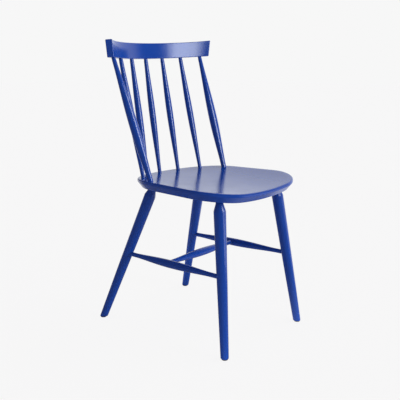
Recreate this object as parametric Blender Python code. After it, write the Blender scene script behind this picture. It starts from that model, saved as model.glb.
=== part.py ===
"""A spindle back dining chair in lacquered wood.

A dished seat carries four splayed turned legs, tied by an H of turned stretchers.
Two posts and five spindles rise from round tenons along the seat's rear arc, and
end in blind sockets in the underside of a bent crest rail.

Metres, +Z up. The chair stands on z = 0 and faces -Y; +X is the sitter's left.
"""

import math

import bmesh
import bpy
from mathutils import Matrix, Vector

# Gap left between two pieces that touch
CLEARANCE = 0.0003

# Seat panel: its height is that of the top face on the centre line
SEAT_HEIGHT = 0.450
SEAT_THICKNESS = 0.0262
SEAT_DISH_RADIUS = 1.28
SEAT_REAR_RADIUS = 0.1926
SEAT_SIDE_FLARE = math.radians(5.7)
SEAT_CORNER_RADIUS = 0.114
SEAT_FRONT_REACH = 0.252
SEAT_FRONT_BOW_RADIUS = 1.5
SEAT_ROUND_OVER = 0.005
SEAT_UPRIGHT_EDGE = 0.0092
SEAT_BEVEL_INSET = 0.0140
SEAT_STRIP_WIDTH = 0.016

# Crest rail: a board bent to a radius and leaning back; the radius is its front face's,
# and the width is over the top corners behind, before they are rounded
CREST_WIDTH = 0.4548
CREST_END_SPLAY = math.radians(1.54)
CREST_UNDERSIDE_HEIGHT = 0.8068
CREST_FRONT_FROM_AXIS = 0.2212
CREST_LEAN = math.radians(5.64)
CREST_BEND_RADIUS = 0.3256
CREST_THICKNESS = 0.0195
CREST_HEIGHT = 0.0477
CREST_END_RISE = 0.0021
CREST_RISE_POWER = 6
CREST_EDGE_RADIUS = 0.0019

# Back: the sticks stand on an arc of the seat and are spread evenly along the crest, where
# the posts come at a share of the way to its ends
BACK_ARC_RADIUS = 0.1748
SPINDLE_SEAT_ANGLES = (math.radians(23.7), math.radians(47.9))
POST_SEAT_ANGLE = math.radians(74.4)
CREST_POST_SHARE = 0.8665
SPINDLE_SEAT_RADIUS = 0.0059
SPINDLE_BELLY_RADIUS = 0.0103
SPINDLE_BELLY_SHARE = 0.52
POST_SEAT_RADIUS = 0.0081
POST_BELLY_RADIUS = 0.0133
POST_BELLY_SHARE = 0.42
STICK_NECK_RADIUS = 0.0063
STICK_TOP_TENON_RADIUS = 0.0058
STICK_SEAT_TENON_LENGTH = 0.016
STICK_CREST_TENON_LENGTH = 0.018
STICK_PLAIN_END = 0.009
STICK_TENON_SHOWING = 0.003

# Legs: at a gauge height just under the seat, each axis lies a spread to the side of the
# middle and a setback in from the seat's edge; down at the floor it has moved out by the
# splay sideways and by the rake forwards or backwards
LEG_GAUGE_HEIGHT = 0.425
FRONT_LEG_SPREAD = 0.1353
FRONT_LEG_SETBACK = 0.0677
FRONT_LEG_SPLAY = 0.0456
FRONT_LEG_RAKE = 0.0595
REAR_LEG_SPREAD = 0.1106
REAR_LEG_SETBACK = 0.0962
REAR_LEG_SPLAY = 0.0838
REAR_LEG_RAKE = 0.1474
LEG_FOOT_RADIUS = 0.0114
LEG_SHOULDER_RADIUS = 0.0174
LEG_ENTASIS = 0.0004
LEG_NECK_RADIUS = 0.0107
LEG_NECK_LENGTH = 0.006
LEG_SHOULDER_LENGTH = 0.022
LEG_SHOULDER_EASE = 0.003
LEG_TENON_LENGTH = 0.017
LEG_FOOT_EDGE = 0.0015
LEG_SAWN_OFF = 0.022

# Stretchers: the side ones join the legs, the cross one joins the side ones
STRETCHER_FRONT_HEIGHT = 0.2238
STRETCHER_REAR_HEIGHT = 0.2167
STRETCHER_END_RADIUS = 0.0066
STRETCHER_BELLY_RADIUS = 0.0120
STRETCHER_BELLY_SHARE = 0.48
STRETCHER_PLAIN_END = 0.022
STRETCHER_TENON_LENGTH = 0.013
CROSS_STRETCHER_SHARE = 0.448
CROSS_TENON_LENGTH = 0.008
CROSS_PLAIN_END = 0.016

# Foot glides: nylon discs, each nailed into a foot
GLIDE_RADIUS = 0.0090
GLIDE_THICKNESS = 0.0030
GLIDE_EDGE = 0.0008
GLIDE_NAIL_RADIUS = 0.0013
GLIDE_NAIL_LENGTH = 0.013
GLIDE_POINT_LENGTH = 0.0026
GLIDE_POINT_RADIUS = 0.0003

# Every turned swelling follows one curve, a sine raised to this power
SWELL_POWER = 1.5

# Facets
STICK_SIDES = 16
LEG_SIDES = 20
STICK_STEPS = 6
TAPER_STEPS = 4
SHOULDER_STEPS = 3
ROUND_OVER_STEPS = 4
CREST_SECTIONS = 36
EDGE_SEGMENTS = 3
ARC_STEP = math.radians(7.5)
MERGE_DISTANCE = 0.000001
BISECT_SNAP = 0.0002
CUTTER_REACH = 0.006
SMOOTH_ANGLE = math.radians(35)

# Finishes: colour (linear), roughness, metallic
BLUE_LACQUER = ((0.010, 0.038, 0.270, 1.0), 0.28, 0.0)
DARK_NYLON = ((0.020, 0.022, 0.030, 1.0), 0.55, 0.0)


def clear_scene():
    for old in list(bpy.data.objects):
        bpy.data.objects.remove(old, do_unlink=True)


def add_object(name, mesh, parent, matrix, finish=None):
    """Links a mesh as an object at a place in its parent's space."""
    piece = bpy.data.objects.new(name, mesh)
    bpy.context.scene.collection.objects.link(piece)
    piece.parent = parent
    piece.rotation_mode = "QUATERNION"
    piece.location, piece.rotation_quaternion, _ = matrix.decompose()
    if finish:
        mesh.materials.append(make_material(f"{name}_finish", *finish))
    return piece


def make_material(name, colour, roughness, metallic):
    material = bpy.data.materials.new(name)
    material.use_nodes = True
    shader = material.node_tree.nodes["Principled BSDF"]
    shader.inputs["Base Color"].default_value = colour
    shader.inputs["Roughness"].default_value = roughness
    shader.inputs["Metallic"].default_value = metallic
    material.diffuse_color = colour
    return material


def finish_mesh(name, shape):
    """Turns a bmesh into a mesh with outward faces, smooth but for its arrises."""
    bmesh.ops.recalc_face_normals(shape, faces=shape.faces)
    mesh = bpy.data.meshes.new(name)
    shape.to_mesh(mesh)
    shape.free()
    mesh.shade_smooth()
    mesh.set_sharp_from_angle(angle=SMOOTH_ANGLE)
    return mesh


def revolve(profile, sides):
    """A closed solid turned about Z from (height, radius) pairs that run upwards."""
    shape = bmesh.new()
    outline = [(profile[0][0], 0.0), *profile, (profile[-1][0], 0.0)]
    corners = [shape.verts.new((radius, 0.0, height)) for height, radius in outline]
    edges = [shape.edges.new(pair) for pair in zip(corners, corners[1:])]
    bmesh.ops.spin(
        shape,
        geom=corners + edges,
        cent=(0.0, 0.0, 0.0),
        axis=(0.0, 0.0, 1.0),
        angle=2 * math.pi,
        steps=sides,
    )
    bmesh.ops.remove_doubles(shape, verts=shape.verts, dist=MERGE_DISTANCE)
    return shape


def place_along(start, end):
    """A frame whose origin is start and whose Z runs towards end."""
    turn = (end - start).to_track_quat("Z", "Y").to_matrix().to_4x4()
    return Matrix.Translation(start) @ turn


def swell(share):
    """Rises from 0 to 1 as share does, quickest at the start and level at the end."""
    return math.sin(share * math.pi / 2) ** SWELL_POWER


def swelling(low, high, low_radius, belly, high_radius):
    """Profile points from low to high, thickest at belly = (height, radius)."""
    rise = [(step / STICK_STEPS, low, low_radius) for step in range(STICK_STEPS + 1)]
    fall = [(step / STICK_STEPS, high, high_radius) for step in reversed(range(STICK_STEPS))]
    return [
        (end + share * (belly[0] - end), radius + swell(share) * (belly[1] - radius))
        for share, end, radius in rise + fall
    ]


def cut_socket(piece, matrix, radius, bottom, mouth):
    """Sinks a blind hole into a piece: along Z of the frame, from bottom to past its mouth."""
    low, high = sorted((bottom, mouth))
    mesh = finish_mesh(f"{piece.name}_socket", revolve([(low, radius), (high, radius)], STICK_SIDES))
    cutter = add_object(f"{piece.name}_socket", mesh, piece.parent, matrix)
    cutter.hide_render = True
    cutter.display_type = "WIRE"
    hole = piece.modifiers.new("Socket", "BOOLEAN")
    hole.operation = "DIFFERENCE"
    hole.solver = "EXACT"
    hole.object = cutter


def dish(x):
    """How far the bent seat has risen at x."""
    return SEAT_DISH_RADIUS - math.sqrt(SEAT_DISH_RADIUS**2 - x * x)


def arc(centre, radius, start, end):
    """Points along an arc from one angle to another, both ends included."""
    count = max(2, round(abs(end - start) / ARC_STEP))
    angles = (start + (end - start) * step / count for step in range(count + 1))
    return [centre + radius * Vector((math.cos(angle), math.sin(angle))) for angle in angles]


def seat_outline(inset):
    """The seat's edge in plan, drawn in by inset: a rear arc, straight flared sides,
    round front corners and a slightly bowed front."""
    normal = Vector((math.cos(SEAT_SIDE_FLARE), math.sin(SEAT_SIDE_FLARE)))
    forward = Vector((normal.y, -normal.x))
    bow_centre = Vector((0.0, SEAT_FRONT_BOW_RADIUS - SEAT_FRONT_REACH))
    bow_reach = SEAT_FRONT_BOW_RADIUS - SEAT_CORNER_RADIUS
    # The corner's centre lies as far inside the side as inside the bowed front
    abreast = normal * (SEAT_REAR_RADIUS - SEAT_CORNER_RADIUS)
    offset = abreast - bow_centre
    along = forward.dot(offset)
    run = -along + math.sqrt(along**2 - offset.length_squared + bow_reach**2)
    corner = abreast + forward * run
    front_angle = math.atan2(corner.y - bow_centre.y, corner.x)
    half = arc(Vector((0.0, 0.0)), SEAT_REAR_RADIUS - inset, math.pi / 2, SEAT_SIDE_FLARE)
    half += arc(corner, SEAT_CORNER_RADIUS - inset, SEAT_SIDE_FLARE, front_angle)
    half += arc(bow_centre, SEAT_FRONT_BOW_RADIUS - inset, front_angle, -math.pi / 2)[1:]
    other = [Vector((-point.x, point.y)) for point in reversed(half[1:-1])]
    return half + other


def make_seat(parent):
    """The panel: rings of its outline from the top face down to the undercut bevel."""
    angles = [math.pi / 2 * step / ROUND_OVER_STEPS for step in range(ROUND_OVER_STEPS + 1)]
    levels = [
        (SEAT_ROUND_OVER * (1 - math.sin(angle)), SEAT_ROUND_OVER * (1 - math.cos(angle)))
        for angle in angles
    ]
    levels += [(0.0, SEAT_UPRIGHT_EDGE), (SEAT_BEVEL_INSET, SEAT_THICKNESS)]
    shape = bmesh.new()
    rings = []
    for inset, depth in levels:
        outline = seat_outline(inset)
        rings.append([shape.verts.new((point.x, point.y, -depth)) for point in outline])
    for upper, lower in zip(rings, rings[1:]):
        for near in range(len(upper)):
            far = (near + 1) % len(upper)
            shape.faces.new((upper[near], upper[far], lower[far], lower[near]))
    shape.faces.new(rings[0])
    shape.faces.new(rings[-1])
    # Cuts across the panel let it bend about a front to back axis
    half_width = max(vertex.co.x for vertex in shape.verts)
    strips = math.ceil(half_width / SEAT_STRIP_WIDTH)
    for strip in range(-strips, strips):
        bmesh.ops.bisect_plane(
            shape,
            geom=shape.verts[:] + shape.edges[:] + shape.faces[:],
            plane_co=((strip + 0.5) * SEAT_STRIP_WIDTH, 0.0, 0.0),
            plane_no=(1.0, 0.0, 0.0),
            dist=BISECT_SNAP,
        )
    for vertex in shape.verts:
        vertex.co.z += dish(vertex.co.x)
    bmesh.ops.triangulate(shape, faces=shape.faces)
    mesh = finish_mesh("seat", shape)
    return add_object("seat", mesh, parent, Matrix.Translation((0.0, 0.0, SEAT_HEIGHT)), BLUE_LACQUER)


def crest_frame():
    """The crest's own frame: its origin is at the middle of the front face's lower edge."""
    origin = Vector((0.0, CREST_FRONT_FROM_AXIS, CREST_UNDERSIDE_HEIGHT))
    return Matrix.Translation(origin) @ Matrix.Rotation(-CREST_LEAN, 4, "X")


def crest_point(angle, depth, height):
    """A point of the bent board: round its bend, behind its front face, above its lower edge."""
    radius = CREST_BEND_RADIUS + depth
    return Vector((radius * math.sin(angle), radius * math.cos(angle) - CREST_BEND_RADIUS, height))


def crest_end_angles():
    """How far round the bend the ends lie, at the board's foot and at its top."""
    top_angle = math.asin(CREST_WIDTH / 2 / (CREST_BEND_RADIUS + CREST_THICKNESS))
    return top_angle - CREST_END_SPLAY, top_angle


def make_crest(parent):
    """The board, swept round its bend, with ends cut square to the bend and slightly splayed."""
    foot_angle, top_angle = crest_end_angles()
    shape = bmesh.new()
    sections = []
    for step in range(CREST_SECTIONS + 1):
        share = 2 * step / CREST_SECTIONS - 1
        top = CREST_HEIGHT + CREST_END_RISE * share**CREST_RISE_POWER
        corners = (
            crest_point(share * foot_angle, 0.0, 0.0),
            crest_point(share * foot_angle, CREST_THICKNESS, 0.0),
            crest_point(share * top_angle, CREST_THICKNESS, top),
            crest_point(share * top_angle, 0.0, top),
        )
        sections.append([shape.verts.new(corner) for corner in corners])
    for left, right in zip(sections, sections[1:]):
        for near in range(len(corners)):
            far = (near + 1) % len(corners)
            shape.faces.new((left[near], left[far], right[far], right[near]))
    shape.faces.new(sections[0])
    shape.faces.new(sections[-1])
    crest = add_object("crest_rail", finish_mesh("crest_rail", shape), parent, crest_frame(), BLUE_LACQUER)
    rounding = crest.modifiers.new("Rounded edges", "BEVEL")
    rounding.width = CREST_EDGE_RADIUS
    rounding.segments = EDGE_SEGMENTS
    rounding.limit_method = "ANGLE"
    rounding.angle_limit = SMOOTH_ANGLE
    return crest


def make_stick(name, seat_angle, crest_angle, foot_radius, belly_radius, belly_share, seat, crest):
    """A post or a spindle, with its socket in the seat and its socket in the crest."""
    foot = Vector((math.sin(seat_angle), math.cos(seat_angle), 0.0)) * BACK_ARC_RADIUS
    foot.z = SEAT_HEIGHT + dish(foot.x)
    board = crest_frame()
    # The stick aims at the middle of the board, half way up its tenon
    aim = board @ crest_point(crest_angle, CREST_THICKNESS / 2, STICK_CREST_TENON_LENGTH / 2)
    up = board.to_3x3() @ Vector((0.0, 0.0, 1.0))
    direction = (aim - foot).normalized()
    length = (board.translation - foot).dot(up) / direction.dot(up)
    frame = place_along(foot, aim)
    tenon_top = length + STICK_CREST_TENON_LENGTH
    profile = [(-STICK_SEAT_TENON_LENGTH, foot_radius)]
    profile += swelling(
        STICK_PLAIN_END,
        length - STICK_PLAIN_END,
        foot_radius,
        (belly_share * length, belly_radius),
        STICK_NECK_RADIUS,
    )
    profile += [
        (length - STICK_TENON_SHOWING, STICK_TOP_TENON_RADIUS),
        (tenon_top, STICK_TOP_TENON_RADIUS),
    ]
    mesh = finish_mesh(name, revolve(profile, STICK_SIDES))
    stick = add_object(name, mesh, seat.parent, frame, BLUE_LACQUER)
    cut_socket(
        seat,
        frame,
        foot_radius + CLEARANCE,
        -STICK_SEAT_TENON_LENGTH - CLEARANCE,
        CUTTER_REACH,
    )
    cut_socket(
        crest,
        frame,
        STICK_TOP_TENON_RADIUS + CLEARANCE,
        tenon_top + CLEARANCE,
        length - CUTTER_REACH,
    )
    return stick


def make_back(seat, crest):
    """Five spindles between two stouter posts, mirrored about the middle one."""
    spindle = (SPINDLE_SEAT_RADIUS, SPINDLE_BELLY_RADIUS, SPINDLE_BELLY_SHARE, seat, crest)
    post = (POST_SEAT_RADIUS, POST_BELLY_RADIUS, POST_BELLY_SHARE, seat, crest)
    inner_angle, outer_angle = SPINDLE_SEAT_ANGLES
    foot_angle, _ = crest_end_angles()
    pitch = CREST_POST_SHARE * foot_angle / 3
    sticks = [make_stick("spindle_middle", 0.0, 0.0, *spindle)]
    for side, label in ((1, "left"), (-1, "right")):
        sticks += [
            make_stick(f"spindle_inner_{label}", side * inner_angle, side * pitch, *spindle),
            make_stick(f"spindle_outer_{label}", side * outer_angle, side * 2 * pitch, *spindle),
            make_stick(f"back_post_{label}", side * POST_SEAT_ANGLE, side * 3 * pitch, *post),
        ]
    return sticks


def leg_line(side, end, edge, spread, setback, splay, rake):
    """A leg's axis, from its foot on the floor to where it meets the underside of the seat.
    Side is 1 on the sitter's left, end is 1 at the rear, and edge is the seat's reach there."""
    foot = Vector((side * (spread + splay), end * (edge - setback + rake), 0.0))
    rise = Vector((-side * splay, -end * rake, LEG_GAUGE_HEIGHT))
    # Across the chair the underside is an arc, which the leg's line meets at its lower crossing
    hub = Vector((0.0, SEAT_HEIGHT - SEAT_THICKNESS + SEAT_DISH_RADIUS))
    along = rise.xz
    offset = foot.xz - hub
    nearest = -along.dot(offset) / along.length_squared
    before = nearest**2 - (offset.length_squared - SEAT_DISH_RADIUS**2) / along.length_squared
    return foot, foot + rise * (nearest - math.sqrt(before))


def leg_radius(height, length):
    """The leg's straight taper at a distance up its axis, with a slight entasis."""
    taper_end = length - LEG_NECK_LENGTH - LEG_SHOULDER_LENGTH
    share = height / taper_end
    bulge = LEG_ENTASIS * math.sin(math.pi * min(max(share, 0.0), 1.0))
    return LEG_FOOT_RADIUS + share * (LEG_SHOULDER_RADIUS - LEG_FOOT_RADIUS) + bulge


def ease_corner(below, corner, above):
    """Profile points that round the shoulder's corner, from below and on towards above."""
    start, middle, end = Vector(below), Vector(corner), Vector(above)
    rejoin = middle.lerp(end, LEG_SHOULDER_EASE / LEG_SHOULDER_LENGTH)
    shares = (step / SHOULDER_STEPS for step in range(SHOULDER_STEPS + 1))
    return [tuple(start.lerp(middle, t).lerp(middle.lerp(rejoin, t), t)) for t in shares]


def make_leg(name, foot, head, seat):
    """A leg turned about its axis: a long taper, a shoulder coned in to a neck, and a tenon.
    Its foot is sawn level, and its socket is cut in the seat."""
    frame = place_along(foot, head)
    length = (head - foot).length
    neck = length - LEG_NECK_LENGTH
    taper_end = neck - LEG_SHOULDER_LENGTH
    ease_start = taper_end - LEG_SHOULDER_EASE
    heights = [-LEG_SAWN_OFF] + [ease_start * step / TAPER_STEPS for step in range(TAPER_STEPS)]
    profile = [(height, leg_radius(height, length)) for height in heights]
    profile += ease_corner(
        (ease_start, leg_radius(ease_start, length)),
        (taper_end, LEG_SHOULDER_RADIUS),
        (neck, LEG_NECK_RADIUS),
    )
    profile += [(neck, LEG_NECK_RADIUS), (length + LEG_TENON_LENGTH, LEG_NECK_RADIUS)]
    shape = revolve(profile, LEG_SIDES)
    floor_up = frame.to_3x3().transposed() @ Vector((0.0, 0.0, 1.0))
    sawn_at = floor_up * (GLIDE_THICKNESS + CLEARANCE)
    cut = bmesh.ops.bisect_plane(
        shape,
        geom=shape.verts[:] + shape.edges[:] + shape.faces[:],
        plane_co=sawn_at,
        plane_no=floor_up,
        clear_inner=True,
    )
    rim = [part for part in cut["geom_cut"] if isinstance(part, bmesh.types.BMEdge)]
    bmesh.ops.edgeloop_fill(shape, edges=rim)
    bmesh.ops.bevel(
        shape,
        geom=rim,
        offset=LEG_FOOT_EDGE,
        segments=EDGE_SEGMENTS,
        profile=0.5,
        affect="EDGES",
    )
    leg = add_object(name, finish_mesh(name, shape), seat.parent, frame, BLUE_LACQUER)
    cut_socket(
        seat,
        frame,
        LEG_NECK_RADIUS + CLEARANCE,
        length + LEG_TENON_LENGTH + CLEARANCE,
        length - CUTTER_REACH,
    )
    return leg


def make_glide(name, foot, leg):
    """A nylon disc under a foot, with its nail driven straight up into the leg."""
    tip = GLIDE_THICKNESS + GLIDE_NAIL_LENGTH
    profile = [
        (0.0, GLIDE_RADIUS - GLIDE_EDGE),
        (GLIDE_EDGE, GLIDE_RADIUS),
        (GLIDE_THICKNESS, GLIDE_RADIUS),
        (GLIDE_THICKNESS, GLIDE_NAIL_RADIUS),
        (tip - GLIDE_POINT_LENGTH, GLIDE_NAIL_RADIUS),
        (tip, GLIDE_POINT_RADIUS),
    ]
    frame = Matrix.Translation(foot)
    glide = add_object(name, finish_mesh(name, revolve(profile, STICK_SIDES)), leg.parent, frame, DARK_NYLON)
    cut_socket(leg, frame, GLIDE_NAIL_RADIUS + CLEARANCE, tip + CLEARANCE, 0.0)
    return glide


def make_stretcher(name, start, end, tenon, plain_end, tuck, hosts):
    """A stretcher between two points on its hosts' axes. It swells in the middle, and enters
    each host by a tenon's length below the surface, which lies tuck beyond that host's axis."""
    frame = place_along(start, end)
    span = (end - start).length
    low = tuck[0] - tenon
    high = span - tuck[1] + tenon
    profile = [(low, STRETCHER_END_RADIUS)]
    profile += swelling(
        tuck[0] + plain_end,
        span - tuck[1] - plain_end,
        STRETCHER_END_RADIUS,
        (STRETCHER_BELLY_SHARE * span, STRETCHER_BELLY_RADIUS),
        STRETCHER_END_RADIUS,
    )
    profile.append((high, STRETCHER_END_RADIUS))
    mesh = finish_mesh(name, revolve(profile, STICK_SIDES))
    stretcher = add_object(name, mesh, hosts[0].parent, frame, BLUE_LACQUER)
    socket_radius = STRETCHER_END_RADIUS + CLEARANCE
    cut_socket(hosts[0], frame, socket_radius, low - CLEARANCE, tuck[0] + CUTTER_REACH)
    cut_socket(hosts[1], frame, socket_radius, high + CLEARANCE, span - tuck[1] - CUTTER_REACH)
    return stretcher


def point_at_height(foot, head, height):
    return foot + (head - foot) * (height / head.z)


def make_base(seat):
    """Four legs with their glides, and the H of stretchers between them."""
    front_leg = (SEAT_FRONT_REACH, FRONT_LEG_SPREAD, FRONT_LEG_SETBACK, FRONT_LEG_SPLAY, FRONT_LEG_RAKE)
    rear_leg = (SEAT_REAR_RADIUS, REAR_LEG_SPREAD, REAR_LEG_SETBACK, REAR_LEG_SPLAY, REAR_LEG_RAKE)
    pieces = []
    side_stretchers = []
    crossings = []
    for side, label in ((1, "left"), (-1, "right")):
        corners = (
            ("front", leg_line(side, -1, *front_leg)),
            ("rear", leg_line(side, 1, *rear_leg)),
        )
        legs = {}
        for end, (foot, head) in corners:
            legs[end] = make_leg(f"leg_{end}_{label}", foot, head, seat)
            pieces += [legs[end], make_glide(f"glide_{end}_{label}", foot, legs[end])]
        lines = dict(corners)
        rear = point_at_height(*lines["rear"], STRETCHER_REAR_HEIGHT)
        front = point_at_height(*lines["front"], STRETCHER_FRONT_HEIGHT)
        tuck = tuple(
            leg_radius((point - lines[end][0]).length, (lines[end][1] - lines[end][0]).length)
            for end, point in (("rear", rear), ("front", front))
        )
        stretcher = make_stretcher(
            f"side_stretcher_{label}",
            rear,
            front,
            STRETCHER_TENON_LENGTH,
            STRETCHER_PLAIN_END,
            tuck,
            (legs["rear"], legs["front"]),
        )
        pieces.append(stretcher)
        side_stretchers.append(stretcher)
        crossings.append(rear.lerp(front, CROSS_STRETCHER_SHARE))
    cross = make_stretcher(
        "cross_stretcher",
        *crossings,
        CROSS_TENON_LENGTH,
        CROSS_PLAIN_END,
        (STRETCHER_BELLY_RADIUS, STRETCHER_BELLY_RADIUS),
        side_stretchers,
    )
    return pieces + [cross]


def centre_on_floor(chair, pieces):
    """Slides the chair so that its depth is shared evenly before and behind the origin."""
    bpy.context.view_layer.update()
    depths = [(piece.matrix_world @ vertex.co).y for piece in pieces for vertex in piece.data.vertices]
    chair.location.y -= (min(depths) + max(depths)) / 2


def main():
    clear_scene()
    chair = bpy.data.objects.new("chair", None)
    bpy.context.scene.collection.objects.link(chair)
    seat = make_seat(chair)
    crest = make_crest(chair)
    sticks = make_back(seat, crest)
    base = make_base(seat)
    centre_on_floor(chair, [seat, crest, *sticks, *base])


main()
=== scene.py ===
"""The looks of a spindle back dining chair in deep blue lacquer.

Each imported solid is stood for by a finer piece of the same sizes, with rounder turnings,
softened arrises and a bead of lacquer round every joint. Metres, +Z up; the chair faces -Y.
"""

import math

import bmesh
import bpy
from mathutils import Matrix, Vector
from mathutils.bvhtree import BVHTree


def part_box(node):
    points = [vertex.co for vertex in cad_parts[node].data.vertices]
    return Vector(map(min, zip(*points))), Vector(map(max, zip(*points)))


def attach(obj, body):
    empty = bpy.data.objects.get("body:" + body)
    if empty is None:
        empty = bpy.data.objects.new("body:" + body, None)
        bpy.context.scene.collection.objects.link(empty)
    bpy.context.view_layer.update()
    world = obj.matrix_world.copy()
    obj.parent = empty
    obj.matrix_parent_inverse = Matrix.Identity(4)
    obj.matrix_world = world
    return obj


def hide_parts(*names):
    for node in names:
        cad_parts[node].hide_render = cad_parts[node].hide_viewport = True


# Directions, and the sitter's sides with the sign of X
UP = Vector((0.0, 0.0, 1.0))
SIDES = ((1, "left"), (-1, "right"))

# Seat
SEAT_HEIGHT = 0.450
SEAT_THICKNESS = 0.0262
SEAT_DISH_RADIUS = 1.28
SEAT_REAR_RADIUS = 0.1926
SEAT_SIDE_FLARE = math.radians(5.7)
SEAT_CORNER_RADIUS = 0.114
SEAT_FRONT_REACH = 0.252
SEAT_FRONT_BOW_RADIUS = 1.5
SEAT_ROUND_OVER = 0.005
SEAT_UPRIGHT_EDGE = 0.0092
SEAT_BEVEL_INSET = 0.0140
SEAT_ARRIS = 0.0011
SEAT_MIDDLE = Vector((0.0, -0.03))

# Crest rail
CREST_UNDERSIDE_HEIGHT = 0.8068
CREST_FRONT_FROM_AXIS = 0.2212
CREST_LEAN = math.radians(5.64)
CREST_BEND_RADIUS = 0.3256
CREST_THICKNESS = 0.0195
CREST_HEIGHT = 0.0477
CREST_END_RISE = 0.0021
CREST_RISE_POWER = 6
CREST_WIDTH = 0.4548
CREST_END_SPLAY = math.radians(1.54)
CREST_EDGE_RADIUS = 0.0019

# Back
BACK_ARC_RADIUS = 0.1748
SPINDLE_SEAT_ANGLES = (math.radians(23.7), math.radians(47.9))
POST_SEAT_ANGLE = math.radians(74.4)
CREST_POST_SHARE = 0.8665
STICKS_EACH_SIDE = 3
SPINDLE_SEAT_RADIUS = 0.0059
SPINDLE_BELLY_RADIUS = 0.0103
SPINDLE_BELLY_SHARE = 0.52
POST_SEAT_RADIUS = 0.0081
POST_BELLY_RADIUS = 0.0133
POST_BELLY_SHARE = 0.42
STICK_NECK_RADIUS = 0.0063
STICK_TOP_TENON_RADIUS = 0.0058
STICK_TENON_SHOWING = 0.003
STICK_PLAIN_END = 0.009
STICK_AIM = 0.009

# Legs and stretchers
FRONT_LEG = ((0.1809, -0.2438), (0.1353, -0.1843))
REAR_LEG = ((0.1944, 0.2438), (0.1106, 0.0964))
LEG_GAUGE_HEIGHT = 0.425
LEG_FOOT_RADIUS = 0.0114
LEG_SHOULDER_RADIUS = 0.0174
LEG_ENTASIS = 0.0004
LEG_NECK_RADIUS = 0.0107
LEG_NECK_LENGTH = 0.006
LEG_SHOULDER_LENGTH = 0.022
LEG_SHOULDER_EASE = 0.003
LEG_FOOT_EDGE = 0.0015
LEG_SAWN_OFF = 0.022
STRETCHER_FRONT_HEIGHT = 0.2238
STRETCHER_REAR_HEIGHT = 0.2167
STRETCHER_END_RADIUS = 0.0066
STRETCHER_BELLY_RADIUS = 0.0120
STRETCHER_BELLY_SHARE = 0.48
STRETCHER_PLAIN_END = 0.022
CROSS_STRETCHER_SHARE = 0.448
CROSS_PLAIN_END = 0.016
GLIDE_RADIUS = 0.0090
GLIDE_THICKNESS = 0.0030
GLIDE_EDGE = 0.0008
CLEARANCE = 0.0003
SWELL_POWER = 1.5

# What the finer pieces add
BEAD = 0.0009
BEAD_STEPS = 4
HIDDEN_END = 0.004
STICK_SIDES = 36
LEG_SIDES = 44
GLIDE_SIDES = 32
STICK_STEPS = 22
TAPER_STEPS = 14
SHOULDER_STEPS = 8
ARC_STEP = math.radians(2.5)
STRAIGHT_STEP = 0.012
SEAT_RINGS = 16
ROUND_OVER_STEPS = 7
CREST_SECTIONS = 96
MERGE_DISTANCE = 0.000001
ARRIS_SEGMENTS = 4
ARRIS_LIMIT = math.radians(28)
SMOOTH_LIMIT = math.radians(40)
ROUND_PROFILE = 0.5

# Camera, read off the photograph's perspective
CAMERA_PLACE = Vector((-1.5288, -1.3251, 0.8329))
CAMERA_YAW = math.radians(-49.0011)
CAMERA_PITCH = math.radians(12.4861)
CAMERA_FOCAL_PIXELS = 676.49
PICTURE_WIDTH = 400
SENSOR_WIDTH = 36

# Finishes: linear colours, noise by its texture settings, roughness from the smoothest places
# to the roughest, an edge of two noise levels between which it changes, and the strength and
# depth of relief
LACQUER_SLOT = "blue_lacquer"
LACQUER_BLUE = (0.0045, 0.0480, 0.300, 1.0)
LACQUER_DEEP = (0.0038, 0.0425, 0.265, 1.0)
LACQUER_ROUGHNESS = (0.16, 0.21)
LACQUER_IOR = 1.5
ACROSS_GRAIN = 9.0
ALONG_GRAIN = 0.55
FIGURE_NOISE = {"Scale": 3.0, "Detail": 4.0, "Roughness": 0.55}
PORE_NOISE = {"Scale": 26.0, "Detail": 3.0, "Roughness": 0.6}
PORE_RELIEF = (0.03, 0.0003)
SPRAY_NOISE = {"Scale": 260.0, "Detail": 1.5}
SPRAY_RELIEF = (0.02, 0.0004)
CLOUD_NOISE = {"Scale": 14.0, "Detail": 2.0}
CLOUD_EDGE = (0.3, 0.7)
NYLON_SLOT = "glide_nylon"
NYLON_DARK = (0.020, 0.022, 0.030, 1.0)
NYLON_WORN = (0.032, 0.034, 0.042, 1.0)
NYLON_ROUGHNESS = (0.42, 0.66)
SCUFF_NOISE = {"Scale": 300.0, "Detail": 4.0}
SCUFF_EDGE = (0.0, 1.0)
SCUFF_RELIEF = (0.2, 0.0002)

# What the camera sees of the ground: its white, and a share of the shadow on a grey floor
PAPER_WHITE = 0.93
FLOOR_GREY = 0.74
FLOOR_REACH = 14.0
SHADOW_SHARE = 0.06

# Daylight, with azimuths from +X towards +Y
DAYLIGHT = 0.50
KEY_POWER = 2.0
KEY_AZIMUTH = math.radians(-78)
KEY_RISE = math.radians(14)
KEY_SPREAD = math.radians(30)
FILL_POWER = 0.80
FILL_AZIMUTH = math.radians(-30)
FILL_RISE = math.radians(40)
FILL_SPREAD = math.radians(40)
SUN_DISTANCE = 4.0
AMBIENT_TINT = (1.0, 0.87, 1.0, 1.0)
WHITE = (1.0, 1.0, 1.0, 1.0)

# The wall and floor, as the lacquer mirrors them. An edge says where a level starts to change
# into the next and where it has changed, along a direction or, for the pool, from its middle.
WALL_DIRECTION = (0.966, 0.259, 0.0)
LEFT_ALONG_WALL = (0.0, 1.0, 0.0)
WALL_TINT = (0.97, 1.0, 1.05, 1.0)
WALL_EDGE = (0.60, 0.79)
WALL_HEAD_EDGE = (0.12, 0.26)
FOOT_LEFT_EDGE = (0.56, 0.68)
FOOT_LEVELS = (1.10, 0.84)
HEAD_LEFT_EDGE = (0.50, 0.58)
HEAD_LEVELS = (1.20, 1.06)
DIM_STUDIO = 0.12
FAR_FLOOR_EDGE = (0.36, 0.76)
FAR_FLOOR = 0.95
DIM_FLOOR = 0.19
POOL_PLACE = (0.25, -0.38, 0.0)
POOL_EDGE = (0.15, 0.45)
POOL_FLOOR = 0.55

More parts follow.
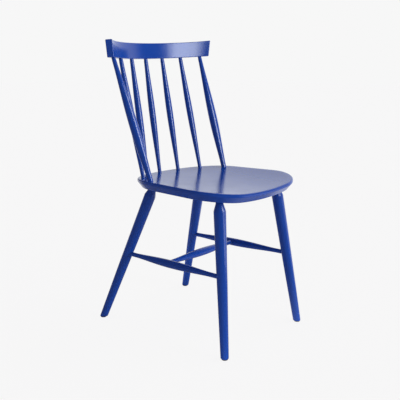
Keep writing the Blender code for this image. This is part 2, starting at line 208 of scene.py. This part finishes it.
# Near panels: centre, target, width, height and radiance
PANELS = {
    "core": ((0.095, -0.60, 0.95), (0.095, 0.20, 0.75), 0.34, 0.46, 5.0),
    "rim": ((0.095, -0.61, 0.95), (0.095, 0.20, 0.75), 0.48, 0.50, 4.0),
    "low": ((0.095, -0.62, 0.59), (0.095, 0.20, 0.50), 0.40, 0.26, 4.0),
    "foot": ((0.03, -0.62, 0.46), (-0.94, -0.36, 0.46), 0.25, 0.48, 2.3),
}
PANEL_TINT = (0.98, 1.03, 1.00)

# Brightly lit squares of floor: x, y, side and radiance
FLOOR_GLOWS = {
    "right": (0.45, -0.42, 0.70, 1.1),
    "back": (0.20, 0.60, 0.70, 2.4),
    "foot": (-0.28, -0.34, 0.20, 1.2),
}
GLOW_HEIGHT = 0.002


def dish(x):
    """How far the seat's surface rises at x."""
    return SEAT_DISH_RADIUS - math.sqrt(SEAT_DISH_RADIUS**2 - x * x)


def swell(share):
    """How much of a belly's swelling there is, at a share of the way to it."""
    return math.sin(share * math.pi / 2) ** SWELL_POWER


def place_along(start, end):
    """A frame at start, with its Z axis towards end."""
    turn = (end - start).to_track_quat("Z", "Y").to_matrix().to_4x4()
    return Matrix.Translation(start) @ turn


def revolve(profile, sides):
    """A bmesh turned about Z from (height, radius) pairs that run upwards."""
    shape = bmesh.new()
    outline = [(profile[0][0], 0.0), *profile, (profile[-1][0], 0.0)]
    points = [shape.verts.new((radius, 0.0, height)) for height, radius in outline]
    edges = [shape.edges.new(pair) for pair in zip(points, points[1:])]
    bmesh.ops.spin(
        shape,
        geom=points + edges,
        cent=(0.0, 0.0, 0.0),
        axis=(0.0, 0.0, 1.0),
        angle=2 * math.pi,
        steps=sides,
    )
    bmesh.ops.remove_doubles(shape, verts=shape.verts, dist=MERGE_DISTANCE)
    return shape


def swelling(low, high, low_radius, belly, high_radius):
    """(Height, radius) pairs that swell from low to the belly's own pair, and narrow to high."""
    rise = [(step / STICK_STEPS, low, low_radius) for step in range(STICK_STEPS + 1)]
    fall = [(step / STICK_STEPS, high, high_radius) for step in reversed(range(STICK_STEPS))]
    return [
        (end + share * (belly[0] - end), radius + swell(share) * (belly[1] - radius))
        for share, end, radius in rise + fall
    ]


class Chair:
    """Holds what every piece needs: the chair's place in the frame, its finishes, and the skins
    of the seat and crest rail, which the sticks and legs enter."""

    def __init__(self, origin, lacquer, nylon):
        self.origin = origin
        self.lacquer = lacquer
        self.nylon = nylon
        self.hosts = {}

    def add(self, node, shape, place, material, slot, arris=None):
        """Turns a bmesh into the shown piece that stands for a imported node. The mesh goes to its
        place in the frame, and keeps where each point was along its own grain."""
        bmesh.ops.recalc_face_normals(shape, faces=shape.faces)
        mesh = bpy.data.meshes.new(f"{node}_fine")
        shape.to_mesh(mesh)
        shape.free()
        mesh.shade_smooth()
        mesh.set_sharp_from_angle(angle=SMOOTH_LIMIT)
        mesh.materials.append(material)
        grain = mesh.attributes.new("grain", "FLOAT_VECTOR", "POINT")
        for vertex, record in zip(mesh.vertices, grain.data):
            record.vector = vertex.co
        mesh.transform(self.origin @ place)
        piece = bpy.data.objects.new(f"{node}_fine", mesh)
        bpy.context.scene.collection.objects.link(piece)
        if arris:
            rounding = piece.modifiers.new("Rounded edges", "BEVEL")
            rounding.width = arris
            rounding.segments = ARRIS_SEGMENTS
            rounding.limit_method = "ANGLE"
            rounding.angle_limit = ARRIS_LIMIT
            rounding.harden_normals = True
        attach(piece, "root")
        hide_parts(node)
        return piece

    def surface(self, piece):
        """The piece's skin in the chair's own frame, to set joints on."""
        back = self.origin.inverted()
        points = [back @ vertex.co for vertex in piece.data.vertices]
        faces = [tuple(face.vertices) for face in piece.data.polygons]
        return BVHTree.FromPolygons(points, faces)


def add_bead(shape, frame, radius, start, heading, skin):
    """A concave bead of lacquer where a round stick enters another piece. It starts a ray from
    each point round the stick, heading +1 or -1 along its axis, to find the other's skin."""
    axis = frame.to_3x3() @ Vector((0.0, 0.0, heading))
    back = frame.inverted()
    rows = []
    for side in range(STICK_SIDES):
        angle = 2 * math.pi * side / STICK_SIDES
        radial = frame.to_3x3() @ Vector((math.cos(angle), math.sin(angle), 0.0))
        begin = frame @ Vector((radius * math.cos(angle), radius * math.sin(angle), start))
        hit, normal, _, _ = skin.ray_cast(begin, axis)
        if normal.dot(axis) > 0:
            normal = -normal
        outward = (radial - normal * radial.dot(normal)).normalized()
        row = []
        for step in range(BEAD_STEPS + 1):
            turn = math.pi / 2 * step / BEAD_STEPS
            point = hit + outward * BEAD * (1 - math.sin(turn)) - axis * BEAD * (1 - math.cos(turn))
            row.append(shape.verts.new(back @ point))
        rows.append(row)
    for near, far in zip(rows, rows[1:] + rows[:1]):
        for step in range(BEAD_STEPS):
            shape.faces.new((near[step], far[step], far[step + 1], near[step + 1]))


def arc(centre, radius, start, end, count=None):
    """Points in plan from the start angle to the end one, in count steps or else by ARC_STEP."""
    count = count or max(2, round(abs(end - start) / ARC_STEP))
    angles = (start + (end - start) * step / count for step in range(count + 1))
    return [centre + radius * Vector((math.cos(angle), math.sin(angle))) for angle in angles]


def seat_outline(inset):
    """The seat's edge in plan, drawn in by inset, with its straight sides cut short."""
    normal = Vector((math.cos(SEAT_SIDE_FLARE), math.sin(SEAT_SIDE_FLARE)))
    forward = Vector((normal.y, -normal.x))
    bow_centre = Vector((0.0, SEAT_FRONT_BOW_RADIUS - SEAT_FRONT_REACH))
    bow_reach = SEAT_FRONT_BOW_RADIUS - SEAT_CORNER_RADIUS
    abreast = normal * (SEAT_REAR_RADIUS - SEAT_CORNER_RADIUS)
    offset = abreast - bow_centre
    along = forward.dot(offset)
    run = -along + math.sqrt(along**2 - offset.length_squared + bow_reach**2)
    corner = abreast + forward * run
    front_angle = math.atan2(corner.y - bow_centre.y, corner.x)
    half = arc(Vector((0.0, 0.0)), SEAT_REAR_RADIUS - inset, math.pi / 2, SEAT_SIDE_FLARE)
    bend = arc(corner, SEAT_CORNER_RADIUS - inset, SEAT_SIDE_FLARE, front_angle)
    cuts = round(run / STRAIGHT_STEP)
    half += [half[-1].lerp(bend[0], cut / cuts) for cut in range(1, cuts)]
    half += bend
    bow_radius = SEAT_FRONT_BOW_RADIUS - inset
    cuts = round(bend[-1].x / STRAIGHT_STEP)
    half += arc(bow_centre, bow_radius, front_angle, -math.pi / 2, cuts)[1:]
    half[-1] = bow_centre - Vector((0.0, bow_radius))
    other = [Vector((-point.x, point.y)) for point in reversed(half[1:-1])]
    return half + other


def make_seat(chair):
    """Rings of points from the middle of the top, over the edge and back to the middle below."""
    angles = [math.pi / 2 * step / ROUND_OVER_STEPS for step in range(ROUND_OVER_STEPS + 1)]
    edge = [
        (SEAT_ROUND_OVER * (1 - math.sin(angle)), SEAT_ROUND_OVER * (1 - math.cos(angle)))
        for angle in angles
    ]
    edge += [(0.0, SEAT_UPRIGHT_EDGE), (SEAT_BEVEL_INSET, SEAT_THICKNESS)]
    levels = [(edge[0], ring / SEAT_RINGS) for ring in range(1, SEAT_RINGS)]
    levels += [(level, 1.0) for level in edge]
    levels += [(edge[-1], ring / SEAT_RINGS) for ring in reversed(range(1, SEAT_RINGS))]
    shape = bmesh.new()
    rings = []
    for (inset, depth), scale in levels:
        ring = [SEAT_MIDDLE.lerp(point, scale) for point in seat_outline(inset)]
        rings.append([shape.verts.new((point.x, point.y, dish(point.x) - depth)) for point in ring])
    for upper, lower in zip(rings, rings[1:]):
        for near in range(len(upper)):
            far = (near + 1) % len(upper)
            shape.faces.new((upper[near], upper[far], lower[far], lower[near]))
    for ring, depth in ((rings[0], 0.0), (rings[-1], SEAT_THICKNESS)):
        hub = shape.verts.new((SEAT_MIDDLE.x, SEAT_MIDDLE.y, -depth))
        for near in range(len(ring)):
            shape.faces.new((ring[near], ring[(near + 1) % len(ring)], hub))
    place = Matrix.Translation((0.0, 0.0, SEAT_HEIGHT))
    return chair.add("seat", shape, place, chair.lacquer["seat"], LACQUER_SLOT, SEAT_ARRIS)


def crest_frame():
    """The crest rail's own frame, at the middle of its front lower edge."""
    origin = Vector((0.0, CREST_FRONT_FROM_AXIS, CREST_UNDERSIDE_HEIGHT))
    return Matrix.Translation(origin) @ Matrix.Rotation(-CREST_LEAN, 4, "X")


def crest_point(angle, depth, height):
    """A point of the crest rail in its own frame, at an angle round the bend."""
    radius = CREST_BEND_RADIUS + depth
    return Vector((radius * math.sin(angle), radius * math.cos(angle) - CREST_BEND_RADIUS, height))


def crest_end_angles():
    """Where the rail ends round the bend, at its foot and at its top."""
    top_angle = math.asin(CREST_WIDTH / 2 / (CREST_BEND_RADIUS + CREST_THICKNESS))
    return top_angle - CREST_END_SPLAY, top_angle


def make_crest(chair):
    foot_angle, top_angle = crest_end_angles()
    shape = bmesh.new()
    sections = []
    for step in range(CREST_SECTIONS + 1):
        share = 2 * step / CREST_SECTIONS - 1
        top = CREST_HEIGHT + CREST_END_RISE * share**CREST_RISE_POWER
        section = (
            crest_point(share * foot_angle, 0.0, 0.0),
            crest_point(share * foot_angle, CREST_THICKNESS, 0.0),
            crest_point(share * top_angle, CREST_THICKNESS, top),
            crest_point(share * top_angle, 0.0, top),
        )
        sections.append([shape.verts.new(corner) for corner in section])
    for left, right in zip(sections, sections[1:]):
        for near in range(len(left)):
            far = (near + 1) % len(left)
            shape.faces.new((left[near], left[far], right[far], right[near]))
    shape.faces.new(sections[0])
    shape.faces.new(sections[-1])
    lacquer = chair.lacquer["crest"]
    return chair.add("crest_rail", shape, crest_frame(), lacquer, LACQUER_SLOT, CREST_EDGE_RADIUS)


def make_stick(chair, node, seat_angle, crest_angle, foot_radius, belly_radius, belly_share):
    """A spindle or post, from an angle round the seat's back arc to one round the crest rail."""
    foot = Vector((math.sin(seat_angle), math.cos(seat_angle), 0.0)) * BACK_ARC_RADIUS
    foot.z = SEAT_HEIGHT + dish(foot.x)
    board = crest_frame()
    aim = board @ crest_point(crest_angle, CREST_THICKNESS / 2, STICK_AIM)
    board_up = board.to_3x3() @ UP
    direction = (aim - foot).normalized()
    length = (board.translation - foot).dot(board_up) / direction.dot(board_up)
    frame = place_along(foot, aim)
    profile = [(-HIDDEN_END, foot_radius)]
    profile += swelling(
        STICK_PLAIN_END,
        length - STICK_PLAIN_END,
        foot_radius,
        (belly_share * length, belly_radius),
        STICK_NECK_RADIUS,
    )
    profile += [
        (length - STICK_TENON_SHOWING, STICK_TOP_TENON_RADIUS),
        (length + HIDDEN_END, STICK_TOP_TENON_RADIUS),
    ]
    shape = revolve(profile, STICK_SIDES)
    middle = length / 2
    add_bead(shape, frame, foot_radius, middle, -1, chair.hosts["seat"])
    add_bead(shape, frame, STICK_TOP_TENON_RADIUS, middle, 1, chair.hosts["crest"])
    return chair.add(node, shape, frame, chair.lacquer["turned"], LACQUER_SLOT)


def make_back(chair):
    """Five spindles between two stouter posts, set out evenly along the crest rail."""
    spindle = (SPINDLE_SEAT_RADIUS, SPINDLE_BELLY_RADIUS, SPINDLE_BELLY_SHARE)
    post = (POST_SEAT_RADIUS, POST_BELLY_RADIUS, POST_BELLY_SHARE)
    inner_angle, outer_angle = SPINDLE_SEAT_ANGLES
    pitch = CREST_POST_SHARE * crest_end_angles()[0] / STICKS_EACH_SIDE
    outermost = STICKS_EACH_SIDE * pitch
    make_stick(chair, "spindle_middle", 0.0, 0.0, *spindle)
    for side, label in SIDES:
        make_stick(chair, f"spindle_inner_{label}", side * inner_angle, side * pitch, *spindle)
        make_stick(chair, f"spindle_outer_{label}", side * outer_angle, side * 2 * pitch, *spindle)
        make_stick(chair, f"back_post_{label}", side * POST_SEAT_ANGLE, side * outermost, *post)


def leg_line(foot_place, gauge_place):
    """A leg's axis, from the floor to the underside of the seat."""
    foot = Vector((*foot_place, 0.0))
    rise = Vector((*gauge_place, LEG_GAUGE_HEIGHT)) - foot
    hub = Vector((0.0, SEAT_HEIGHT - SEAT_THICKNESS + SEAT_DISH_RADIUS))
    along = rise.xz
    offset = foot.xz - hub
    nearest = -along.dot(offset) / along.length_squared
    before = nearest**2 - (offset.length_squared - SEAT_DISH_RADIUS**2) / along.length_squared
    return foot, foot + rise * (nearest - math.sqrt(before))


def leg_radius(height, length):
    """The taper's radius at a height along the leg, with its entasis."""
    share = height / (length - LEG_NECK_LENGTH - LEG_SHOULDER_LENGTH)
    bulge = LEG_ENTASIS * math.sin(math.pi * min(max(share, 0.0), 1.0))
    return LEG_FOOT_RADIUS + share * (LEG_SHOULDER_RADIUS - LEG_FOOT_RADIUS) + bulge


def ease_corner(below, corner, above):
    """Profile points that round the shoulder's corner, from below and on towards above."""
    start, middle, end = Vector(below), Vector(corner), Vector(above)
    rejoin = middle.lerp(end, LEG_SHOULDER_EASE / LEG_SHOULDER_LENGTH)
    shares = (step / SHOULDER_STEPS for step in range(SHOULDER_STEPS + 1))
    return [tuple(start.lerp(middle, t).lerp(middle.lerp(rejoin, t), t)) for t in shares]


def make_leg(chair, node, foot, head):
    """A turned leg that is cut level, just above its glide."""
    frame = place_along(foot, head)
    length = (head - foot).length
    neck = length - LEG_NECK_LENGTH
    taper_end = neck - LEG_SHOULDER_LENGTH
    ease_start = taper_end - LEG_SHOULDER_EASE
    heights = [-LEG_SAWN_OFF] + [ease_start * step / TAPER_STEPS for step in range(TAPER_STEPS)]
    profile = [(height, leg_radius(height, length)) for height in heights]
    profile += ease_corner(
        (ease_start, leg_radius(ease_start, length)),
        (taper_end, LEG_SHOULDER_RADIUS),
        (neck, LEG_NECK_RADIUS),
    )
    profile += [(neck, LEG_NECK_RADIUS), (length + HIDDEN_END, LEG_NECK_RADIUS)]
    shape = revolve(profile, LEG_SIDES)
    floor_up = frame.to_3x3().transposed() @ UP
    cut = bmesh.ops.bisect_plane(
        shape,
        geom=shape.verts[:] + shape.edges[:] + shape.faces[:],
        plane_co=floor_up * (GLIDE_THICKNESS + CLEARANCE),
        plane_no=floor_up,
        clear_inner=True,
    )
    rim = [part for part in cut["geom_cut"] if isinstance(part, bmesh.types.BMEdge)]
    bmesh.ops.edgeloop_fill(shape, edges=rim)
    bmesh.ops.bevel(
        shape,
        geom=rim,
        offset=LEG_FOOT_EDGE,
        segments=ARRIS_SEGMENTS,
        profile=ROUND_PROFILE,
        affect="EDGES",
    )
    add_bead(shape, frame, LEG_NECK_RADIUS, length - LEG_NECK_LENGTH, 1, chair.hosts["seat"])
    return chair.add(node, shape, frame, chair.lacquer["turned"], LACQUER_SLOT)


def make_glide(chair, node, foot):
    profile = [
        (0.0, GLIDE_RADIUS - GLIDE_EDGE),
        (GLIDE_EDGE / 3, GLIDE_RADIUS - GLIDE_EDGE / 3),
        (GLIDE_EDGE, GLIDE_RADIUS),
        (GLIDE_THICKNESS, GLIDE_RADIUS),
    ]
    shape = revolve(profile, GLIDE_SIDES)
    return chair.add(node, shape, Matrix.Translation(foot), chair.nylon, NYLON_SLOT)


def make_stretcher(chair, node, start, end, plain_end, tuck, skins):
    """A swelling stretcher between the axes of two pieces. At each end, tuck is the radius of
    the piece that it enters, and skins has that piece's skin."""
    frame = place_along(start, end)
    span = (end - start).length
    profile = [(tuck[0] - HIDDEN_END, STRETCHER_END_RADIUS)]
    profile += swelling(
        tuck[0] + plain_end,
        span - tuck[1] - plain_end,
        STRETCHER_END_RADIUS,
        (STRETCHER_BELLY_SHARE * span, STRETCHER_BELLY_RADIUS),
        STRETCHER_END_RADIUS,
    )
    profile.append((span - tuck[1] + HIDDEN_END, STRETCHER_END_RADIUS))
    shape = revolve(profile, STICK_SIDES)
    for heading, skin in ((-1, skins[0]), (1, skins[1])):
        add_bead(shape, frame, STRETCHER_END_RADIUS, span / 2, heading, skin)
    return chair.add(node, shape, frame, chair.lacquer["turned"], LACQUER_SLOT)


def point_at_height(foot, head, height):
    """The point of a leg's axis at a height above the floor."""
    return foot + (head - foot) * (height / head.z)


def make_base(chair):
    """Four legs on their glides, tied by two side stretchers and a cross stretcher between."""
    crossings = []
    side_skins = []
    for side, label in SIDES:
        lines = {}
        skins = {}
        for end, places in (("front", FRONT_LEG), ("rear", REAR_LEG)):
            foot, head = leg_line(*((side * x, y) for x, y in places))
            lines[end] = (foot, head)
            skins[end] = chair.surface(make_leg(chair, f"leg_{end}_{label}", foot, head))
            make_glide(chair, f"glide_{end}_{label}", foot)
        rear = point_at_height(*lines["rear"], STRETCHER_REAR_HEIGHT)
        front = point_at_height(*lines["front"], STRETCHER_FRONT_HEIGHT)
        tuck = tuple(
            leg_radius((point - lines[end][0]).length, (lines[end][1] - lines[end][0]).length)
            for end, point in (("rear", rear), ("front", front))
        )
        node = f"side_stretcher_{label}"
        ends = (skins["rear"], skins["front"])
        stretcher = make_stretcher(chair, node, rear, front, STRETCHER_PLAIN_END, tuck, ends)
        side_skins.append(chair.surface(stretcher))
        crossings.append(rear.lerp(front, CROSS_STRETCHER_SHARE))
    tuck = (STRETCHER_BELLY_RADIUS, STRETCHER_BELLY_RADIUS)
    make_stretcher(chair, "cross_stretcher", *crossings, CROSS_PLAIN_END, tuck, side_skins)


def fill(tree, socket, value):
    """Links another node's output to the socket, or writes a number or colour on it."""
    if isinstance(value, bpy.types.NodeSocket):
        tree.links.new(value, socket)
    else:
        socket.default_value = value


def add_node(tree, kind, **values):
    """A shader node with its settings and sockets filled in by name."""
    node = tree.nodes.new(kind)
    for name, value in values.items():
        if name in node.inputs:
            fill(tree, node.inputs[name], value)
        else:
            setattr(node, name, value)
    return node


def add_noise(tree, place, settings):
    return add_node(tree, "ShaderNodeTexNoise", Vector=place, **settings).outputs["Fac"]


def add_tint(tree, factor, first, second):
    """A colour between the first and the second."""
    tint = tree.nodes.new("ShaderNodeMix")
    tint.data_type = "RGBA"
    fill(tree, tint.inputs[0], factor)
    fill(tree, tint.inputs[6], first)
    fill(tree, tint.inputs[7], second)
    return tint.outputs[2]


def add_relief(tree, height, relief, normal=None):
    """Shallow relief by the height, on top of what a normal from another one has."""
    strength, depth = relief
    bump = add_node(tree, "ShaderNodeBump", Height=height, Strength=strength, Distance=depth)
    if normal:
        fill(tree, bump.inputs["Normal"], normal)
    return bump.outputs["Normal"]


def add_range(tree, value, edge, levels, kind="LINEAR"):
    """A change from the first of levels to the second, as value goes over the edge."""
    ramp = add_node(tree, "ShaderNodeMapRange", interpolation_type=kind, Value=value)
    for name, level in zip(("From Min", "From Max", "To Min", "To Max"), (*edge, *levels)):
        fill(tree, ramp.inputs[name], level)
    return ramp.outputs["Result"]


def start_material(name):
    """A new material, with its node tree."""
    material = bpy.data.materials.new(name)
    material.use_nodes = True
    return material, material.node_tree


def make_lacquer(name, grain):
    """Satin lacquer over close grained wood. The grain direction has the small number in grain,
    which stretches faint pores, and the slight unevenness of a sprayed coat lies over them."""
    material, tree = start_material(name)
    shader = tree.nodes["Principled BSDF"]
    place = tree.nodes.new("ShaderNodeTexCoord").outputs["Object"]
    inside = add_node(tree, "ShaderNodeAttribute", attribute_name="grain").outputs["Vector"]
    drawn = add_node(tree, "ShaderNodeMapping", Vector=inside, Scale=grain).outputs["Vector"]
    figure = add_noise(tree, drawn, FIGURE_NOISE)
    pores = add_noise(tree, drawn, PORE_NOISE)
    spray = add_noise(tree, place, SPRAY_NOISE)
    cloud = add_noise(tree, place, CLOUD_NOISE)
    grained = add_relief(tree, pores, PORE_RELIEF)
    coated = add_relief(tree, spray, SPRAY_RELIEF, grained)
    fill(tree, shader.inputs["Base Color"], add_tint(tree, figure, LACQUER_DEEP, LACQUER_BLUE))
    fill(tree, shader.inputs["Roughness"], add_range(tree, cloud, CLOUD_EDGE, LACQUER_ROUGHNESS))
    fill(tree, shader.inputs["Normal"], coated)
    fill(tree, shader.inputs["IOR"], LACQUER_IOR)
    material.diffuse_color = LACQUER_BLUE
    return material


def make_nylon():
    """Dark moulded nylon with fine scuffs."""
    material, tree = start_material("moulded_nylon")
    shader = tree.nodes["Principled BSDF"]
    place = tree.nodes.new("ShaderNodeTexCoord").outputs["Object"]
    scuff = add_noise(tree, place, SCUFF_NOISE)
    fill(tree, shader.inputs["Base Color"], add_tint(tree, scuff, NYLON_DARK, NYLON_WORN))
    fill(tree, shader.inputs["Roughness"], add_range(tree, scuff, SCUFF_EDGE, NYLON_ROUGHNESS))
    fill(tree, shader.inputs["Normal"], add_relief(tree, scuff, SCUFF_RELIEF))
    material.diffuse_color = NYLON_DARK
    return material


def fade(tree, value, edge, levels):
    """A smooth change of strength over the edge."""
    return add_range(tree, value, edge, levels, "SMOOTHSTEP")


def measure(tree, operation, vector, other):
    """The dot product of a vector with another, or its distance from a point."""
    node = add_node(tree, "ShaderNodeVectorMath", operation=operation)
    fill(tree, node.inputs[0], vector)
    fill(tree, node.inputs[1], other)
    return node.outputs["Value"]


def mix_by(tree, factor, first, second):
    """The first shader where the factor is 0, and the second where it is 1."""
    mix = tree.nodes.new("ShaderNodeMixShader")
    for socket, value in zip(mix.inputs, (factor, first, second)):
        fill(tree, socket, value)
    return mix.outputs[0]


def make_floor():
    """A pale floor that shows as the same white as the wall, less a share of the chair's shadow.
    The lacquer mirrors it as the studio's, lit in a pool before the chair and dim round it."""
    mesh = bpy.data.meshes.new("floor")
    ways = ((-1, -1), (1, -1), (1, 1), (-1, 1))
    points = [(FLOOR_REACH * x, FLOOR_REACH * y, 0.0) for x, y in ways]
    mesh.from_pydata(points, [], [(0, 1, 2, 3)])
    floor = bpy.data.objects.new("floor", mesh)
    bpy.context.scene.collection.objects.link(floor)
    material, tree = start_material("pale_floor")
    tree.nodes.clear()
    matt = add_node(tree, "ShaderNodeBsdfDiffuse", Color=(FLOOR_GREY, FLOOR_GREY, FLOOR_GREY, 1.0))
    suns = KEY_POWER * math.sin(KEY_RISE) + FILL_POWER * math.sin(FILL_RISE)
    unshaded = FLOOR_GREY * (DAYLIGHT + suns / math.pi)
    level = (PAPER_WHITE - SHADOW_SHARE * unshaded) / (1 - SHADOW_SHARE)
    white = add_node(tree, "ShaderNodeEmission", Strength=level)
    place = tree.nodes.new("ShaderNodeTexCoord").outputs["Object"]
    towards_wall = measure(tree, "DOT_PRODUCT", place, WALL_DIRECTION)
    far = fade(tree, towards_wall, FAR_FLOOR_EDGE, (DIM_FLOOR, FAR_FLOOR))
    from_pool = measure(tree, "DISTANCE", place, POOL_PLACE)
    pool = fade(tree, from_pool, POOL_EDGE, (POOL_FLOOR, far))
    mirrored = add_node(tree, "ShaderNodeEmission", Strength=pool)
    rays = tree.nodes.new("ShaderNodeLightPath")
    share = add_node(tree, "ShaderNodeMath", operation="MULTIPLY")
    fill(tree, share.inputs[0], rays.outputs["Is Camera Ray"])
    fill(tree, share.inputs[1], 1 - SHADOW_SHARE)
    seen = mix_by(tree, share.outputs[0], matt.outputs[0], white.outputs[0])
    surface = mix_by(tree, rays.outputs["Is Glossy Ray"], seen, mirrored.outputs[0])
    out = tree.nodes.new("ShaderNodeOutputMaterial")
    tree.links.new(surface, out.inputs["Surface"])
    mesh.materials.append(material)


def make_world():
    """A bright wall on the chair's far side and a dim studio elsewhere, as the lacquer mirrors
    them. The camera sees only white."""
    world = bpy.data.worlds.new("studio")
    bpy.context.scene.world = world
    world.use_nodes = True
    tree = world.node_tree
    tree.nodes.clear()
    heading = tree.nodes.new("ShaderNodeTexCoord").outputs["Generated"]
    height = measure(tree, "DOT_PRODUCT", heading, UP)
    leftward = measure(tree, "DOT_PRODUCT", heading, LEFT_ALONG_WALL)
    foot = fade(tree, leftward, FOOT_LEFT_EDGE, FOOT_LEVELS)
    head = fade(tree, leftward, HEAD_LEFT_EDGE, HEAD_LEVELS)
    wall = fade(tree, height, WALL_HEAD_EDGE, (foot, head))
    facing = measure(tree, "DOT_PRODUCT", heading, WALL_DIRECTION)
    strength = fade(tree, facing, WALL_EDGE, (DIM_STUDIO, wall))
    studio = add_node(tree, "ShaderNodeBackground", Strength=strength)
    soft = add_node(tree, "ShaderNodeBackground", Strength=DAYLIGHT)
    white = add_node(tree, "ShaderNodeBackground", Strength=PAPER_WHITE)
    for shade, tint in ((studio, WALL_TINT), (soft, AMBIENT_TINT), (white, WHITE)):
        fill(tree, shade.inputs["Color"], tint)
    rays = tree.nodes.new("ShaderNodeLightPath")
    mirrored = mix_by(tree, rays.outputs["Is Glossy Ray"], soft.outputs[0], studio.outputs[0])
    seen = mix_by(tree, rays.outputs["Is Camera Ray"], mirrored, white.outputs[0])
    out = tree.nodes.new("ShaderNodeOutputWorld")
    tree.links.new(seen, out.inputs["Surface"])


def add_lamp(name, kind, centre, target):
    """A lamp of the kind at centre that shines towards target and can't be seen itself."""
    lamp = bpy.data.lights.new(name, kind)
    holder = bpy.data.objects.new(name, lamp)
    bpy.context.scene.collection.objects.link(holder)
    holder.matrix_world = place_along(centre, 2 * centre - target)
    holder.visible_camera = False
    return holder


def add_daylight(name, azimuth, rise, spread, power):
    """A broad even light from far away, which the lacquer doesn't mirror."""
    level = math.cos(rise)
    towards = Vector((math.cos(azimuth) * level, math.sin(azimuth) * level, math.sin(rise)))
    holder = add_lamp(name, "SUN", SUN_DISTANCE * towards, Vector())
    holder.data.energy = power
    holder.data.angle = spread
    holder.visible_glossy = False


def add_panel(name, centre, target, width, height, radiance, receivers):
    """A near panel that shows only as a mirror image in the receivers' lacquer."""
    holder = add_lamp(name, "AREA", Vector(centre), Vector(target))
    holder.data.shape = "RECTANGLE"
    holder.data.size = width
    holder.data.size_y = height
    holder.data.energy = radiance * math.pi * width * height
    holder.data.color = PANEL_TINT
    holder.visible_diffuse = False
    holder.light_linking.receiver_collection = receivers


def add_floor_glow(name, x, y, side, radiance):
    """What a brightly lit square of the floor throws back up, besides what all of it does."""
    centre = Vector((x, y, GLOW_HEIGHT))
    holder = add_lamp(name, "AREA", centre, centre + UP)
    holder.data.size = side
    holder.data.energy = radiance * math.pi * side * side
    holder.visible_glossy = False


def all_but(piece):
    """A group of light receivers that takes in everything but the piece."""
    group = bpy.data.collections.new(f"all_but_{piece.name}")
    group.objects.link(piece)
    group.collection_objects[0].light_linking.link_state = "EXCLUDE"
    return group


def light_studio(seat):
    """The panels are kept off the seat, whose level top would mirror them at a low angle from
    behind, and wash out to white."""
    receivers = all_but(seat)
    add_daylight("key", KEY_AZIMUTH, KEY_RISE, KEY_SPREAD, KEY_POWER)
    add_daylight("fill", FILL_AZIMUTH, FILL_RISE, FILL_SPREAD, FILL_POWER)
    for name, panel in PANELS.items():
        add_panel(f"panel_{name}", *panel, receivers)
    for name, glow in FLOOR_GLOWS.items():
        add_floor_glow(f"glow_{name}", *glow)


def make_camera():
    lens = bpy.data.cameras.new("camera")
    lens.sensor_width = SENSOR_WIDTH
    lens.lens = CAMERA_FOCAL_PIXELS * SENSOR_WIDTH / PICTURE_WIDTH
    camera = bpy.data.objects.new("camera", lens)
    bpy.context.scene.collection.objects.link(camera)
    turn = Matrix.Rotation(CAMERA_YAW, 4, "Z") @ Matrix.Rotation(math.pi / 2 - CAMERA_PITCH, 4, "X")
    camera.matrix_world = Matrix.Translation(CAMERA_PLACE) @ turn
    bpy.context.scene.camera = camera


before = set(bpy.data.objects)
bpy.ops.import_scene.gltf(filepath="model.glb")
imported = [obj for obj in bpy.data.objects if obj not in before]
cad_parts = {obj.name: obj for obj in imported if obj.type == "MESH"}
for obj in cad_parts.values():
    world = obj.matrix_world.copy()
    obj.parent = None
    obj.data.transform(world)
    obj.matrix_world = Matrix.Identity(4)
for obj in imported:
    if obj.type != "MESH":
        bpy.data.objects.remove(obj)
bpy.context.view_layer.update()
bpy.context.scene.view_settings.view_transform = "Standard"

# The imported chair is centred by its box, a little along Y from where the sizes above put it
low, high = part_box("glide_front_left")
slide = (low.y + high.y) / 2 - FRONT_LEG[0][1]
finishes = {
    "turned": make_lacquer("lacquer_turned", (ACROSS_GRAIN, ACROSS_GRAIN, ALONG_GRAIN)),
    "seat": make_lacquer("lacquer_seat", (ACROSS_GRAIN, ALONG_GRAIN, ACROSS_GRAIN)),
    "crest": make_lacquer("lacquer_crest", (ALONG_GRAIN, ACROSS_GRAIN, ACROSS_GRAIN)),
}
chair = Chair(Matrix.Translation((0.0, slide, 0.0)), finishes, make_nylon())
seat = make_seat(chair)
chair.hosts["seat"] = chair.surface(seat)
chair.hosts["crest"] = chair.surface(make_crest(chair))
make_back(chair)
make_base(chair)

make_floor()
make_world()
light_studio(seat)
make_camera()
